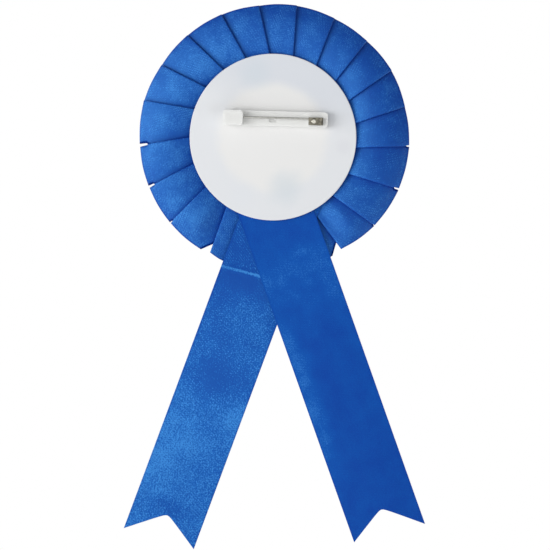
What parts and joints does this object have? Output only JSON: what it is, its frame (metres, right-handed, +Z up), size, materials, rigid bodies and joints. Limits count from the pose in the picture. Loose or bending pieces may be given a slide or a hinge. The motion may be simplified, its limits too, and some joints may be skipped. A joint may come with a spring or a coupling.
{
  "type": "award ribbon",
  "caption": "Pleated satin award rosette with a domed button, swallow-tailed ribbon tails that swing, and a hooded bar pin on its backing disc.",
  "frame": {"origin": "on the axis of the pin's needle, straight above the middle of the rosette", "axes": "+Z up as worn, +Y out of the back, towards the garment, so -Y is the front; the needle points along +X, 1.6 degrees upwards"},
  "size_m": [0.1047, 0.0169, 0.1893],
  "materials": {
    "white_disc": "glossy white sheet",
    "blue_satin": "royal blue satin ribbon with a fine weave",
    "blue_thread": "sewing thread",
    "grey_card": "plain board",
    "hot_glue": "milky hot-melt glue",
    "steel_wire": "bright staple wire",
    "clear_film": "clear glossy film",
    "printed_paper": "printed paper, blue with a gold border and star",
    "tinplate": "tinplate",
    "white_foam": "closed-cell foam tape",
    "white_plastic": "moulded white plastic, satin gloss",
    "nickel": "nickel plate",
    "needle_steel": "polished steel wire"
  },
  "bodies": {
    "rosette": {"backing_disc": "white_disc", "pleated_ribbon": "blue_satin", "gathering_thread": "blue_thread", "core_card": "grey_card", "glue_dots": "hot_glue", "tail_front_root": "blue_satin", "tail_rear_root": "blue_satin", "tail_staples": "steel_wire", "button_film": "clear_film", "button_paper": "printed_paper", "button_shell": "tinplate", "button_collet": "tinplate", "foam_pad": "white_foam", "pin_bar": "white_plastic", "hinge_clip": "nickel", "hinge_rivet": "nickel"},
    "front_tail": {"tail_front": "blue_satin"},
    "rear_tail": {"tail_rear": "blue_satin"},
    "pin_needle": {"needle": "needle_steel"}
  },
  "joints": [
    {"name": "needle_swing", "type": "hinge", "parent": "rosette", "child": "pin_needle", "pos_m": [-0.01417, 0, -0.00123], "axis": [0, -1, 0], "range_deg": [0, 60]},
    {"name": "front_tail_swing", "type": "hinge", "parent": "rosette", "child": "front_tail", "pos_m": [0.00637, -0.00585, -0.05651], "axis": [-0.9373, 0, -0.3486], "range_deg": [0, 90]},
    {"name": "rear_tail_swing", "type": "hinge", "parent": "rosette", "child": "rear_tail", "pos_m": [-0.00906, -0.00525, -0.05537], "axis": [0.9426, 0, -0.3338], "range_deg": [0, 90]}
  ]
}
